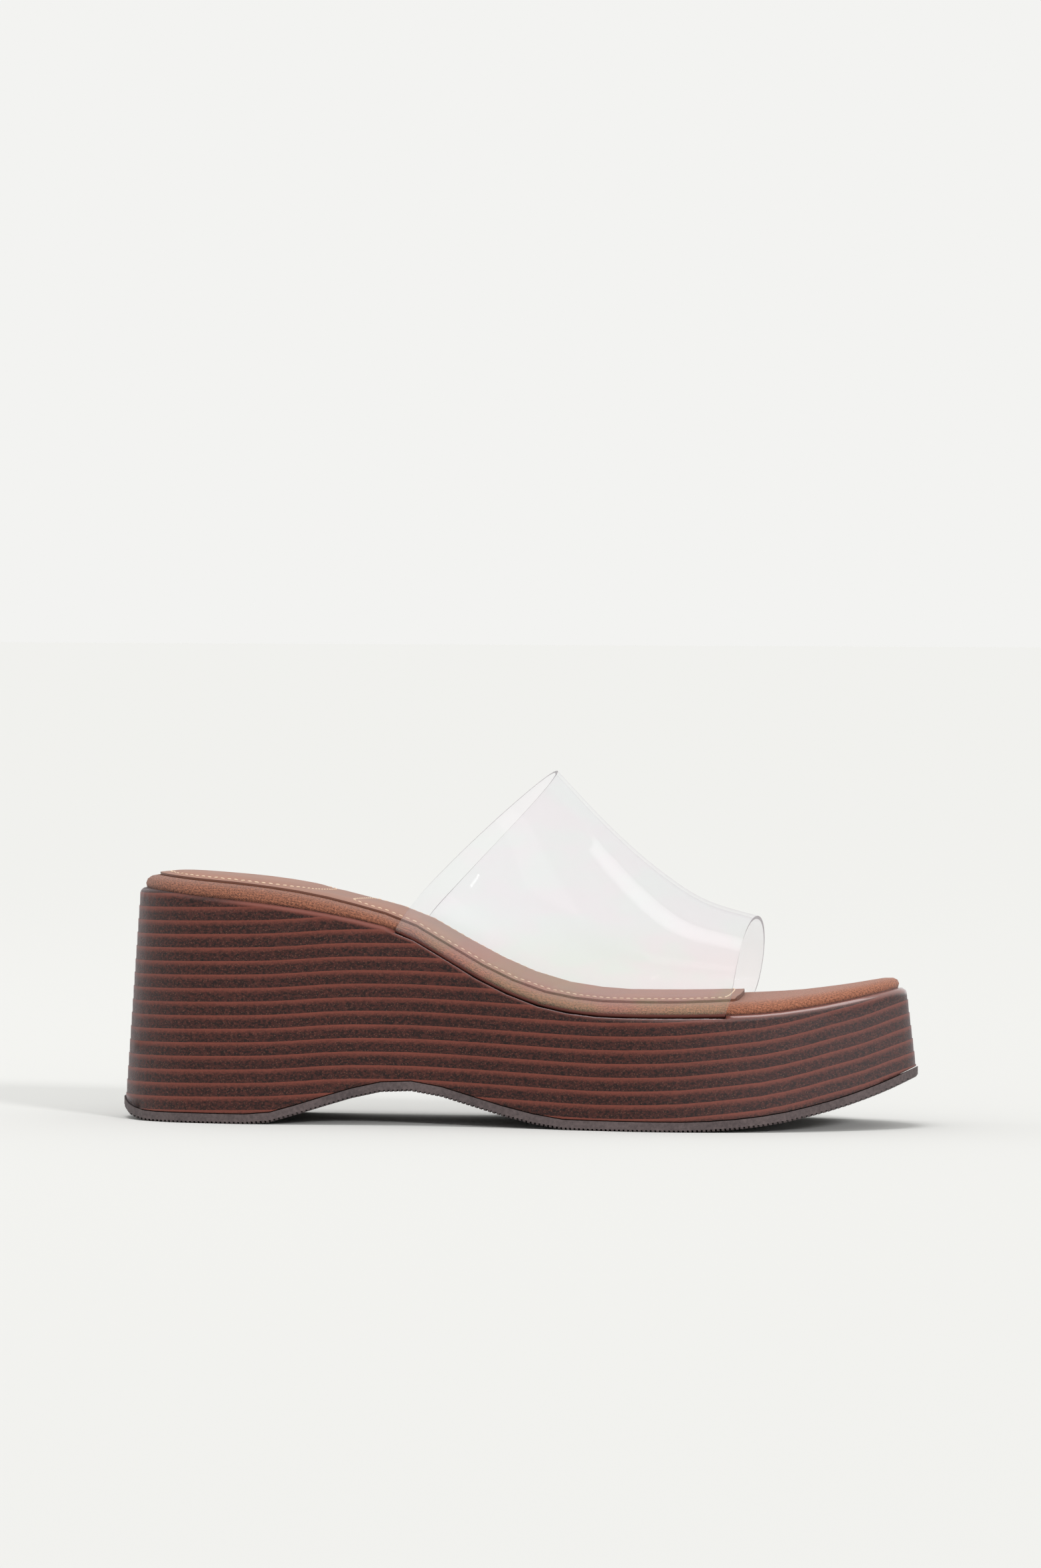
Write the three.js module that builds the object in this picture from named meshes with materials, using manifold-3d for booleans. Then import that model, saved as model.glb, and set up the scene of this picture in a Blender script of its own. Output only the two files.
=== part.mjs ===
// Slide sandal on a stacked wedge, for the right foot: a clear band over a covered footbed.
// Millimetres, +Z up. +X points to the toe and +Y to the inner side of the foot. The ground
// is z = 0, and the origin lies under the middle of the sole.

import * as THREE from 'three';
import { mergeVertices } from 'three/addons/utils/BufferGeometryUtils.js';
import Module from 'manifold-3d';

const wasm = await Module();
wasm.setup();

// Driving sizes

const soleLength = 250;
const ballWidth = 88;
const clearance = 0.3; // between pieces that touch

const outsoleThick = 3;
const outsoleReveal = 0.5; // how far the outsole's edge stands proud of the wedge
const heelBevel = 4; // lift of the sole's rear edge
const archHeight = 10.9;
const toeSpring = 15.8;

const platformHeight = 35.5; // ground to wedge top at the ball
const heelHeight = 72.6; // ground to wedge top at the heel
const toeRise = 9; // wedge top, from ball to toe
const wedgeRound = 2.5; // radius of the wedge's top edge at the ball
const wallLean = 0.066; // inward lean of the wedge's wall for each mm of height

const layerPitch = 4.2; // one lift of the stack
const layerStep = 0.2; // how far the foot of each lift sits back
const ledgeRise = 0.1;
const firstLine = 4.1; // height of the lowest line at the heel
const lineHump = 2; // rise of the lines over the arch
const lineLift = 15.5; // rise of the lines to the toe

const footbedThick = 4.5; // at the heel
const footbedSetback = 2.3; // wedge wall to footbed edge
const footbedRound = 5; // width of the footbed's rounded edge
const sockEdgeThick = 0.5;
const sockCrown = 1.1; // thickness inside its soft edge
const sockEdgeWidth = 5;
const sockSetback = 4.6; // footbed edge to sock edge
const sockEnd = 0.781; // share of the length where the sock stops
const sockSkew = 0.08; // slant of its front end across the foot
const sockCornerDepth = 3;

const bandThick = 1;
const bandMargin = 10; // tucked in under the footbed
const bandBendRadius = 1; // middle of the sheet, where the margin turns in
const bandRearHeight = 110.2; // ground to the peak at the instep
const bandFrontHeight = 65.2; // ground to the crown of the front edge
const bandBulge = 5.2; // how far the sides stand out past the footbed at the rear edge
const bandBow = 2; // how far its rear edge bows back on the way up
const bandFoot = {
  outer: { start: 0.361, end: 0.782 }, // shares of the sole's length
  inner: { start: 0.364, end: 0.773 },
};

// Numbers of sections

const outlineSteps = 40;
const roundSteps = 3;
const archSteps = 8;

// Tables: lengths are shares of the named sizes

// Outline of the outsole: along by the sole's length, half widths by the ball's width
const outlineRows = [
  { along: 0, outer: 0, inner: 0 },
  { along: 0.045, outer: 0.265, inner: 0.265 },
  { along: 0.11, outer: 0.35, inner: 0.35 },
  { along: 0.18, outer: 0.372, inner: 0.372 },
  { along: 0.3, outer: 0.352, inner: 0.35 },
  { along: 0.4, outer: 0.342, inner: 0.345 },
  { along: 0.5, outer: 0.387, inner: 0.385 },
  { along: 0.6, outer: 0.46, inner: 0.45 },
  { along: 0.69, outer: 0.5, inner: 0.492 },
  { along: 0.76, outer: 0.485, inner: 0.5 },
  { along: 0.82, outer: 0.445, inner: 0.488 },
  { along: 0.89, outer: 0.352, inner: 0.43 },
  { along: 0.945, outer: 0.237, inner: 0.33 },
  { along: 0.98, outer: 0.125, inner: 0.215 },
  { along: 1, outer: -0.04, inner: 0.04 },
];

// Underside: bevel by heelBevel, arch by archHeight, spring by toeSpring
const soleRows = [
  { along: -0.01, bevel: 1.1, arch: 0, spring: 0 },
  { along: 0, bevel: 0.95, arch: 0, spring: 0 },
  { along: 0.019, bevel: 0.3, arch: 0, spring: 0 },
  { along: 0.05, bevel: 0, arch: 0, spring: 0 },
  { along: 0.19, bevel: 0, arch: 0, spring: 0 },
  { along: 0.216, bevel: 0, arch: 0.115, spring: 0 },
  { along: 0.247, bevel: 0, arch: 0.33, spring: 0 },
  { along: 0.314, bevel: 0, arch: 0.8, spring: 0 },
  { along: 0.345, bevel: 0, arch: 0.955, spring: 0 },
  { along: 0.373, bevel: 0, arch: 1, spring: 0 },
  { along: 0.405, bevel: 0, arch: 0.92, spring: 0 },
  { along: 0.45, bevel: 0, arch: 0.655, spring: 0 },
  { along: 0.5, bevel: 0, arch: 0.34, spring: 0 },
  { along: 0.55, bevel: 0, arch: 0.1, spring: 0 },
  { along: 0.59, bevel: 0, arch: 0, spring: 0 },
  { along: 0.73, bevel: 0, arch: 0, spring: 0 },
  { along: 0.79, bevel: 0, arch: 0, spring: 0.055 },
  { along: 0.838, bevel: 0, arch: 0, spring: 0.15 },
  { along: 0.905, bevel: 0, arch: 0, spring: 0.4 },
  { along: 0.938, bevel: 0, arch: 0, spring: 0.57 },
  { along: 0.97, bevel: 0, arch: 0, spring: 0.77 },
  { along: 1, bevel: 0, arch: 0, spring: 1 },
  { along: 1.01, bevel: 0, arch: 0, spring: 1.08 },
];

// Wedge top: heel by heelHeight less platformHeight, toe by toeRise
const topRows = [
  { along: -0.01, heel: 1.01, toe: 0 },
  { along: 0.04, heel: 0.987, toe: 0 },
  { along: 0.11, heel: 0.937, toe: 0 },
  { along: 0.177, heel: 0.895, toe: 0 },
  { along: 0.231, heel: 0.85, toe: 0 },
  { along: 0.289, heel: 0.785, toe: 0 },
  { along: 0.346, heel: 0.702, toe: 0 },
  { along: 0.37, heel: 0.645, toe: 0 },
  { along: 0.403, heel: 0.535, toe: 0 },
  { along: 0.442, heel: 0.372, toe: 0 },
  { along: 0.482, heel: 0.237, toe: 0 },
  { along: 0.535, heel: 0.094, toe: 0 },
  { along: 0.588, heel: 0.024, toe: 0 },
  { along: 0.64, heel: 0, toe: 0 },
  { along: 0.72, heel: 0, toe: 0.01 },
  { along: 0.8, heel: 0, toe: 0.06 },
  { along: 0.838, heel: 0, toe: 0.14 },
  { along: 0.872, heel: 0, toe: 0.27 },
  { along: 0.905, heel: 0, toe: 0.425 },
  { along: 0.938, heel: 0, toe: 0.615 },
  { along: 0.978, heel: 0, toe: 0.87 },
  { along: 1.01, heel: 0, toe: 1.07 },
];

// Lines of the stack: hump by lineHump, lift by lineLift
const lineRows = [
  { along: -0.02, hump: -0.3, lift: 0 },
  { along: 0.1, hump: -0.05, lift: 0 },
  { along: 0.2, hump: 0.2, lift: 0 },
  { along: 0.31, hump: 0.98, lift: 0 },
  { along: 0.36, hump: 1, lift: 0 },
  { along: 0.45, hump: 0.65, lift: 0 },
  { along: 0.537, hump: 0.2, lift: 0 },
  { along: 0.63, hump: -0.15, lift: 0 },
  { along: 0.7, hump: 0, lift: 0 },
  { along: 0.747, hump: 0, lift: 0.055 },
  { along: 0.787, hump: 0, lift: 0.12 },
  { along: 0.826, hump: 0, lift: 0.194 },
  { along: 0.865, hump: 0, lift: 0.323 },
  { along: 0.903, hump: 0, lift: 0.49 },
  { along: 0.94, hump: 0, lift: 0.65 },
  { along: 0.977, hump: 0, lift: 0.87 },
  { along: 1.02, hump: 0, lift: 1.1 },
];

// Wall of the wedge along the sole: lean by wallLean, round by wedgeRound
const wallRows = [
  { along: 0, lean: 1, round: 0.8 },
  { along: 0.2, lean: 0.95, round: 0.85 },
  { along: 0.5, lean: 0.95, round: 1 },
  { along: 0.85, lean: 0.95, round: 1.1 },
  { along: 0.95, lean: 1.4, round: 1.1 },
  { along: 1, lean: 1.9, round: 1.1 },
];

// Footbed along the sole: thick by footbedThick, setback by footbedSetback
const boardRows = [
  { along: 0, thick: 0.84, setback: 0.75 },
  { along: 0.06, thick: 0.92, setback: 0.8 },
  { along: 0.15, thick: 1, setback: 0.9 },
  { along: 0.24, thick: 0.95, setback: 1 },
  { along: 0.36, thick: 0.67, setback: 1 },
  { along: 0.5, thick: 0.72, setback: 1 },
  { along: 0.7, thick: 0.72, setback: 1 },
  { along: 0.82, thick: 0.84, setback: 1 },
  { along: 1, thick: 0.78, setback: 1 },
];

// Rounded edge of the footbed: rise by its thickness, tuck by footbedRound
const footbedRows = [
  { rise: 0, tuck: 0.06 },
  { rise: 0.25, tuck: 0 },
  { rise: 0.6, tuck: 0.1 },
  { rise: 0.85, tuck: 0.36 },
  { rise: 1, tuck: 0.86 },
];

// Band from its rear edge to its front edge: crownAt by the sole's length, crown by the
// height from bandFrontHeight up to bandRearHeight, bulge by bandBulge, bow by bandBow
const bandRows = [
  { across: 0, crownAt: 0.546, crown: 1, bulge: 1, bow: 1 },
  { across: 0.25, crownAt: 0.609, crown: 0.635, bulge: 0.85, bow: 0.6 },
  { across: 0.5, crownAt: 0.672, crown: 0.325, bulge: 0.6, bow: 0.2 },
  { across: 0.75, crownAt: 0.735, crown: 0.1, bulge: 0.3, bow: -0.2 },
  { across: 1, crownAt: 0.798, crown: 0, bulge: 0.15, bow: -0.5 },
];
const widestShare = 0.3; // of the band's height, where its sides stand out most
const bowPower = 0.6; // below 1 brings the most bowed place down
const archPower = 2.1; // roundness of the band's arch

const colours = {
  outsole: 0x5a4e50,
  wedge: 0x5c3836,
  footbed: 0xaa6c4e,
  sock: 0x9b6b55,
  band: 0xeceaeb,
};

// Smooth interpolation of one column of a table, without overshoot
function curve(rows, at, column, warp = (value) => value) {
  const x = rows.map((row) => warp(row[at]));
  const y = rows.map((row) => row[column]);
  const slope = x.slice(1).map((value, i) => (y[i + 1] - y[i]) / (value - x[i]));
  const tangent = x.map((_, i) => {
    if (i === 0) return slope[0];
    if (i === x.length - 1) return slope[i - 1];
    const before = slope[i - 1];
    const after = slope[i];
    return before * after <= 0 ? 0 : (2 * before * after) / (before + after);
  });
  return (value) => {
    const place = Math.min(Math.max(warp(value), x[0]), x[x.length - 1]);
    let i = 0;
    while (i < x.length - 2 && place > x[i + 1]) i += 1;
    const span = x[i + 1] - x[i];
    const t = (place - x[i]) / span;
    const hermite =
      y[i] * (1 + 2 * t) * (1 - t) ** 2 +
      y[i + 1] * t * t * (3 - 2 * t) +
      span * (tangent[i] * t * (1 - t) ** 2 - tangent[i + 1] * t * t * (1 - t));
    return hermite;
  };
}

// Half widths are read along an angle, so that heel and toe close in round ends
const endAngle = (along) => Math.acos(1 - 2 * Math.min(Math.max(along, 0), 1));
const outerWidth = curve(outlineRows, 'along', 'outer', endAngle);
const innerWidth = curve(outlineRows, 'along', 'inner', endAngle);
const bevelAt = curve(soleRows, 'along', 'bevel');
const archAt = curve(soleRows, 'along', 'arch');
const springAt = curve(soleRows, 'along', 'spring');
const heelAt = curve(topRows, 'along', 'heel');
const toeAt = curve(topRows, 'along', 'toe');
const humpAt = curve(lineRows, 'along', 'hump');
const liftAt = curve(lineRows, 'along', 'lift');
const leanAt = curve(wallRows, 'along', 'lean');
const roundAt = curve(wallRows, 'along', 'round');
const thickAt = curve(boardRows, 'along', 'thick');
const setbackAt = curve(boardRows, 'along', 'setback');

const along = (x) => x / soleLength + 0.5;
const soleBottom = (x) =>
  heelBevel * bevelAt(along(x)) + archHeight * archAt(along(x)) + toeSpring * springAt(along(x));
const soleTop = (x) => soleBottom(x) + outsoleThick;
const wedgeTop = (x) =>
  platformHeight + (heelHeight - platformHeight) * heelAt(along(x)) + toeRise * toeAt(along(x));
const lineHeight = (x) => firstLine + lineHump * humpAt(along(x)) + lineLift * liftAt(along(x));
const boardThick = (x) => footbedThick * thickAt(along(x));
const footbedTop = (x) => wedgeTop(x) + clearance + boardThick(x);

// Point and inward normal of the sole's outline on one side: side is -1 outside, 1 inside
function outlinePoint(share, side) {
  const width = side < 0 ? outerWidth : innerWidth;
  return new THREE.Vector2((share - 0.5) * soleLength, side * width(share) * ballWidth);
}

function outlineNormal(angle, side) {
  const step = 0.01;
  const pick = (turn) => {
    const past = turn < 0 || turn > Math.PI;
    return outlinePoint((1 - Math.cos(turn)) / 2, past ? -side : side);
  };
  const tangent = pick(angle + step).sub(pick(angle - step)).normalize();
  return new THREE.Vector2(side * tangent.y, -side * tangent.x);
}

// How far the wedge's wall stands in from the outsole's edge at a height
function wallInset(x, z) {
  return outsoleReveal + wallLean * leanAt(along(x)) * Math.max(z - soleTop(x), -outsoleThick);
}

// Place on one side of the sole: angle runs from 0 at the heel to pi at the toe
function sidePoint(angle, side, inset, height) {
  const share = (1 - Math.cos(angle)) / 2;
  const base = outlinePoint(share, side);
  const normal = outlineNormal(angle, side);
  const point = base.addScaledVector(normal, inset(base.x, height(base.x)));
  return new THREE.Vector3(point.x, point.y, height(point.x));
}

// Closed ring round the sole: heel, outer side, toe, inner side
function soleRing(inset, height) {
  const ring = [];
  for (let i = 0; i <= outlineSteps; i += 1) {
    ring.push(sidePoint((Math.PI * i) / outlineSteps, -1, inset, height));
  }
  for (let i = outlineSteps - 1; i > 0; i -= 1) {
    ring.push(sidePoint((Math.PI * i) / outlineSteps, 1, inset, height));
  }
  return ring;
}

// Skin through rings of equal count. The ends are closed by strips between paired points:
// with pairShift 0 point i faces point -i, with pairShift 1 the ring is a folded strip.
function loft(rings, pairShift) {
  const count = rings[0].length;
  const corners = [];
  const put = (...points) => points.forEach((point) => corners.push(point.x, point.y, point.z));
  for (let r = 0; r < rings.length - 1; r += 1) {
    for (let i = 0; i < count; i += 1) {
      const next = (i + 1) % count;
      put(rings[r][i], rings[r][next], rings[r + 1][next]);
      put(rings[r][i], rings[r + 1][next], rings[r + 1][i]);
    }
  }
  const close = (ring, turned) => {
    const facing = (i) => (count - pairShift - i) % count;
    const face = (a, b, c) => {
      if (a === b || b === c || a === c) return;
      if (turned) put(ring[a], ring[c], ring[b]);
      else put(ring[a], ring[b], ring[c]);
    };
    for (let i = 0; i < Math.floor(count / 2) - pairShift; i += 1) {
      face(i, i + 1, facing(i + 1));
      face(i, facing(i + 1), facing(i));
    }
  };
  close(rings[0], true);
  close(rings[rings.length - 1], false);
  const geometry = new THREE.BufferGeometry();
  geometry.setAttribute('position', new THREE.Float32BufferAttribute(corners, 3));
  return geometry;
}

// The same skin as a solid, with its faces turned out
function toSolid(geometry) {
  const bare = geometry.clone();
  bare.deleteAttribute('normal');
  bare.deleteAttribute('uv');
  const merged = mergeVertices(bare, 1e-4);
  const vertProperties = new Float32Array(merged.attributes.position.array);
  const triVerts = new Uint32Array(merged.index.array);
  if (signedVolume(vertProperties, triVerts) < 0) triVerts.reverse();
  return new wasm.Manifold(new wasm.Mesh({ numProp: 3, vertProperties, triVerts }));
}

function signedVolume(points, triangles) {
  const corner = (i) => new THREE.Vector3().fromArray(points, 3 * triangles[i]);
  let sum = 0;
  for (let i = 0; i < triangles.length; i += 3) {
    sum += corner(i).dot(corner(i + 1).cross(corner(i + 2)));
  }
  return sum / 6;
}

function toGeometry(solid) {
  const mesh = solid.getMesh();
  const geometry = new THREE.BufferGeometry();
  geometry.setAttribute('position', new THREE.Float32BufferAttribute(mesh.vertProperties, 3));
  geometry.setIndex(new THREE.Uint32BufferAttribute(mesh.triVerts, 1));
  return geometry;
}

const makeSolid = (rings, pairShift = 0) => toSolid(loft(rings, pairShift));

// Insets of the wedge's wall and of the footbed's edge at the wedge's top
const topInset = (x) => wallInset(x, wedgeTop(x));
const boardInset = (x) => topInset(x) + footbedSetback * setbackAt(along(x));

function makeOutsole() {
  const edge = 0.5; // small round along the ground edge
  return makeSolid([
    soleRing(() => edge, soleBottom),
    soleRing(() => 0, (x) => soleBottom(x) + edge),
    soleRing(() => 0, soleTop),
  ]);
}

// Lifts of the stack: each leans out to its proud top line, then steps back
function makeStack() {
  const rings = [];
  const lastLine = Math.ceil((heelHeight - firstLine) / layerPitch) + 1;
  for (let line = -1; line <= lastLine; line += 1) {
    const height = (x) => lineHeight(x) + line * layerPitch;
    rings.push(soleRing(wallInset, height));
    rings.push(soleRing((x, z) => wallInset(x, z) + layerStep, (x) => height(x) + ledgeRise));
  }
  return makeSolid(rings);
}

// Body of the wedge between outsole and footbed, with its rounded top edge
function makeWedgeBlock() {
  const skin = 0.1; // stands clear of the lifts, so that their steps show
  const foot = (x) => soleTop(x) + clearance;
  const round = (x) => wedgeRound * roundAt(along(x));
  const rings = [
    soleRing(() => outsoleReveal - 1, foot),
    soleRing((x, z) => wallInset(x, z) - skin, (x) => wedgeTop(x) - round(x)),
  ];
  for (let i = 1; i <= roundSteps; i += 1) {
    const turn = (Math.PI / 2) * (i / roundSteps);
    const inset = (x, z) => wallInset(x, z) + round(x) * (1 - Math.cos(turn));
    rings.push(soleRing(inset, (x) => wedgeTop(x) - round(x) * (1 - Math.sin(turn))));
  }
  return makeSolid(rings);
}

// Insets from the wedge's wall of the middle of the band's sheet, upright and tucked in
const bandInset = footbedSetback - clearance - bandThick / 2;
const marginInset = bandInset + bandMargin;

// Angles along the sole where the band meets one side: the outline's own, and its two ends
function footAngles(side) {
  const { start, end } = side < 0 ? bandFoot.outer : bandFoot.inner;
  const first = Math.max(bandFoot.outer.start, bandFoot.inner.start);
  const last = Math.min(bandFoot.outer.end, bandFoot.inner.end);
  const least = 0.003;
  const angles = [endAngle(start)];
  for (let i = 1; i < outlineSteps; i += 1) {
    const angle = (Math.PI * i) / outlineSteps;
    const share = (1 - Math.cos(angle)) / 2;
    if (share > first + least && share < last - least) angles.push(angle);
  }
  angles.push(endAngle(end));
  return angles;
}

// Seat for the tucked margin, cut into the wedge's top
function makeSeat(side) {
  const { start, end } = side < 0 ? bandFoot.outer : bandFoot.inner;
  const angles = footAngles(side);
  angles[0] = endAngle(start - clearance / soleLength);
  angles[angles.length - 1] = endAngle(end + clearance / soleLength);
  const near = bandInset - bandThick / 2 - clearance;
  const far = marginInset + clearance;
  const floor = (x) => wedgeTop(x) - bandThick - clearance;
  const above = (x) => wedgeTop(x) + bandThick;
  const rings = angles.map((angle) => [
    sidePoint(angle, side, (x) => topInset(x) + near, floor),
    sidePoint(angle, side, (x) => topInset(x) + far, floor),
    sidePoint(angle, side, (x) => topInset(x) + far, above),
    sidePoint(angle, side, (x) => topInset(x) + near, above),
  ]);
  return makeSolid(rings, 1);
}

function makeWedge() {
  return makeStack().intersect(makeWedgeBlock()).subtract(makeSeat(-1)).subtract(makeSeat(1));
}

function makeFootbed() {
  const rings = footbedRows.map((row) =>
    soleRing(
      (x) => boardInset(x) + row.tuck * footbedRound,
      (x) => wedgeTop(x) + clearance + row.rise * boardThick(x),
    ),
  );
  return makeSolid(rings);
}

// Region behind the sock's front end, as a tall prism
function makeSockRegion() {
  const halfWidth = ballWidth / 2;
  const steps = 16;
  const shape = new THREE.Shape();
  shape.moveTo(-soleLength, halfWidth);
  shape.lineTo(-soleLength, -halfWidth);
  for (let i = 0; i <= steps; i += 1) {
    const share = (2 * i) / steps - 1;
    const corner = sockSkew * share * halfWidth + sockCornerDepth * Math.abs(share) ** 4;
    shape.lineTo((sockEnd - 0.5) * soleLength - corner, share * halfWidth);
  }
  return toSolid(new THREE.ExtrudeGeometry(shape, { depth: 2 * heelHeight, bevelEnabled: false }));
}

function makeSock() {
  const inset = (x) => boardInset(x) + sockSetback;
  const lower = (x) => footbedTop(x) + clearance;
  const middle = (sockEdgeThick + sockCrown) / 2;
  const sheet = makeSolid([
    soleRing(inset, lower),
    soleRing(inset, (x) => lower(x) + sockEdgeThick),
    soleRing((x) => inset(x) + sockEdgeWidth / 3, (x) => lower(x) + middle),
    soleRing((x) => inset(x) + sockEdgeWidth, (x) => lower(x) + sockCrown),
  ]);
  return sheet.intersect(makeSockRegion());
}

// Half width of the upright part of the band over a place along the sole
function bandSide(x, side) {
  let guess = x;
  let point = null;
  for (let i = 0; i < 4; i += 1) {
    point = sidePoint(endAngle(along(guess)), side, (p) => topInset(p) + bandInset, wedgeTop);
    guess += x - point.x;
  }
  return Math.abs(point.y);
}

// Middle of the band's sheet on one side of one section, from its margin up to the crown
function bandHalf(angle, side, crown, { bulge, bow }) {
  const low = (x) => wedgeTop(x) - bandThick / 2;
  const margin = (depth, rise) =>
    sidePoint(angle, side, (x) => topInset(x) + bandInset + depth, (x) => low(x) + rise);
  const turned = bandBendRadius * (1 - Math.SQRT1_2);
  const points = [margin(bandMargin, 0), margin(bandBendRadius, 0), margin(turned, turned)];
  const foot = margin(0, bandBendRadius);
  points.push(foot);
  const height = crown.z - foot.z;
  const riser = (boardThick(foot.x) + clearance) / height;
  const lengthwise = (share) =>
    foot.x + (crown.x - foot.x) * share - bow * Math.sin(Math.PI * share ** bowPower);
  const place = (share, width) =>
    new THREE.Vector3(lengthwise(share), side * width, foot.z + height * share);
  const riserWidth = bandSide(lengthwise(riser), side);
  points.push(place(riser, riserWidth));
  const widest = Math.max(widestShare, riser + 0.05);
  for (const part of [1 / 3, 2 / 3]) {
    const width = riserWidth + bulge * Math.sin((Math.PI / 2) * part);
    points.push(place(riser + (widest - riser) * part, width));
  }
  for (let i = 0; i < archSteps; i += 1) {
    const turn = (Math.PI / 2) * (i / archSteps);
    const rise = widest + (1 - widest) * Math.sin(turn) ** (2 / archPower);
    points.push(place(rise, (riserWidth + bulge) * Math.cos(turn) ** (2 / archPower)));
  }
  return points;
}

function makeBand() {
  const crownAt = curve(bandRows, 'across', 'crownAt');
  const crownHeight = curve(bandRows, 'across', 'crown');
  const bulgeAt = curve(bandRows, 'across', 'bulge');
  const bowAt = curve(bandRows, 'across', 'bow');
  const outer = footAngles(-1);
  const inner = footAngles(1);
  const share = (angle) => (1 - Math.cos(angle)) / 2;
  const { start, end } = bandFoot.outer;
  const sheet = outer.map((angle, i) => {
    const across = (share(angle) - start) / (end - start);
    const top = bandFrontHeight + (bandRearHeight - bandFrontHeight) * crownHeight(across);
    const crown = new THREE.Vector3(
      (crownAt(across) - 0.5) * soleLength,
      0,
      top - bandThick / 2,
    );
    const shape = { bulge: bandBulge * bulgeAt(across), bow: bandBow * bowAt(across) };
    const half = bandHalf(angle, -1, crown, shape);
    return [...half, crown, ...bandHalf(inner[i], 1, crown, shape).reverse()];
  });
  const normal = (i, j) => {
    const pick = (row, column) => {
      const line = sheet[Math.min(Math.max(row, 0), sheet.length - 1)];
      return line[Math.min(Math.max(column, 0), line.length - 1)];
    };
    const ahead = pick(i + 1, j).clone().sub(pick(i - 1, j));
    const round = pick(i, j + 1).clone().sub(pick(i, j - 1));
    return ahead.cross(round).normalize();
  };
  const face = (i, offset) =>
    sheet[i].map((point, j) => point.clone().addScaledVector(normal(i, j), offset));
  const rings = sheet.map((_, i) => [
    ...face(i, bandThick / 2),
    ...face(i, -bandThick / 2).reverse(),
  ]);
  return makeSolid(rings, 1);
}

function addPiece(group, name, solid, finish) {
  const material = new THREE.MeshStandardMaterial({ color: colours[name], ...finish });
  const mesh = new THREE.Mesh(toGeometry(solid), material);
  mesh.name = name;
  group.add(mesh);
}

const sandal = new THREE.Group();
addPiece(sandal, 'outsole', makeOutsole(), { roughness: 0.8 });
addPiece(sandal, 'wedge', makeWedge(), { roughness: 0.45 });
addPiece(sandal, 'footbed', makeFootbed(), { roughness: 0.9 });
addPiece(sandal, 'sock', makeSock(), { roughness: 0.5 });
addPiece(sandal, 'band', makeBand(), { roughness: 0.08, transparent: true, opacity: 0.3 });

export default sandal;
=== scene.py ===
import bpy
import math
from mathutils import Matrix, Vector
from mathutils.bvhtree import BVHTree


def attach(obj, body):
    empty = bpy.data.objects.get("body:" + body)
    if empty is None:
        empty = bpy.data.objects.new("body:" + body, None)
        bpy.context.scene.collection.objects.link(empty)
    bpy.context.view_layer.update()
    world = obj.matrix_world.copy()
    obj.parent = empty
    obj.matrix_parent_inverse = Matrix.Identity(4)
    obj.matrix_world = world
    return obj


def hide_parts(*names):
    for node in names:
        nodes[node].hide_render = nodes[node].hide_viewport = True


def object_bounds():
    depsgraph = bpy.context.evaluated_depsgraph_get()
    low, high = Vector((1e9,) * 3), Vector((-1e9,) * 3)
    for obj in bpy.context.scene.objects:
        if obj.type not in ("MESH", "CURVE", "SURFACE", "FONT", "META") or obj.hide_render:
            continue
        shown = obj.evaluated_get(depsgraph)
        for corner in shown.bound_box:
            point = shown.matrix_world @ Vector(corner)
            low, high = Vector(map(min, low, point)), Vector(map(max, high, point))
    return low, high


mm = 0.001
softDrop = 0.25 * mm  # how far a soft piece sinks onto what carries it
weldReach = 0.01 * mm
skyHeight = 0.3  # rays that look for a piece's top start this high

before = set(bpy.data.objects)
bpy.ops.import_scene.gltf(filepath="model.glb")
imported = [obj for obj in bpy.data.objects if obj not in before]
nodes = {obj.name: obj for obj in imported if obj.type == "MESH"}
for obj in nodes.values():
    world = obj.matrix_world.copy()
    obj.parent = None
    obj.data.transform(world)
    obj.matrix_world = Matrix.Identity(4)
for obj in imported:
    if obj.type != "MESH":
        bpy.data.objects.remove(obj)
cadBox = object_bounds()
soleLength = cadBox[1][0] - cadBox[0][0]
print("stage: frame loaded")


# Small tools

def deselectAll():
    if bpy.context.object and bpy.context.object.mode != "OBJECT":
        bpy.ops.object.mode_set(mode="OBJECT")
    bpy.ops.object.select_all(action="DESELECT")


def activate(obj):
    deselectAll()
    obj.select_set(True)
    bpy.context.view_layer.objects.active = obj


def applyModifiers(obj):
    activate(obj)
    for modifier in list(obj.modifiers):
        bpy.ops.object.modifier_apply(modifier=modifier.name)


def smooth(obj, degrees):
    activate(obj)
    bpy.ops.object.shade_smooth_by_angle(angle=math.radians(degrees))


def mergedCopy(nodeName, pieceName):
    # a welded copy of a CAD node's solid, with its smooth walls joined up
    piece = bpy.data.objects.new(pieceName, nodes[nodeName].data.copy())
    piece.data.name = pieceName
    piece.data.materials.clear()
    bpy.context.collection.objects.link(piece)
    activate(piece)
    bpy.ops.object.mode_set(mode="EDIT")
    bpy.ops.mesh.select_all(action="SELECT")
    bpy.ops.mesh.remove_doubles(threshold=weldReach)
    bpy.ops.mesh.select_all(action="DESELECT")
    bpy.ops.object.mode_set(mode="OBJECT")
    return piece


def restOnBelow(piece):
    # lets the underside of a soft piece down onto what carries it
    for vertex in piece.data.vertices:
        if vertex.normal.z < -0.3:
            vertex.co.z -= softDrop


def joinPieces(parts, name):
    deselectAll()
    for part in parts:
        part.select_set(True)
    bpy.context.view_layer.objects.active = parts[0]
    bpy.ops.object.join()
    joined = bpy.context.view_layer.objects.active
    joined.name = name
    joined.data.name = name
    return joined


def settle(obj):
    # bakes place, turn and size into the mesh
    activate(obj)
    bpy.ops.object.transform_apply(location=True, rotation=True, scale=True)


def finishPiece(obj, material):
    obj.data.materials.append(material)
    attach(obj, "root")


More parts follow.
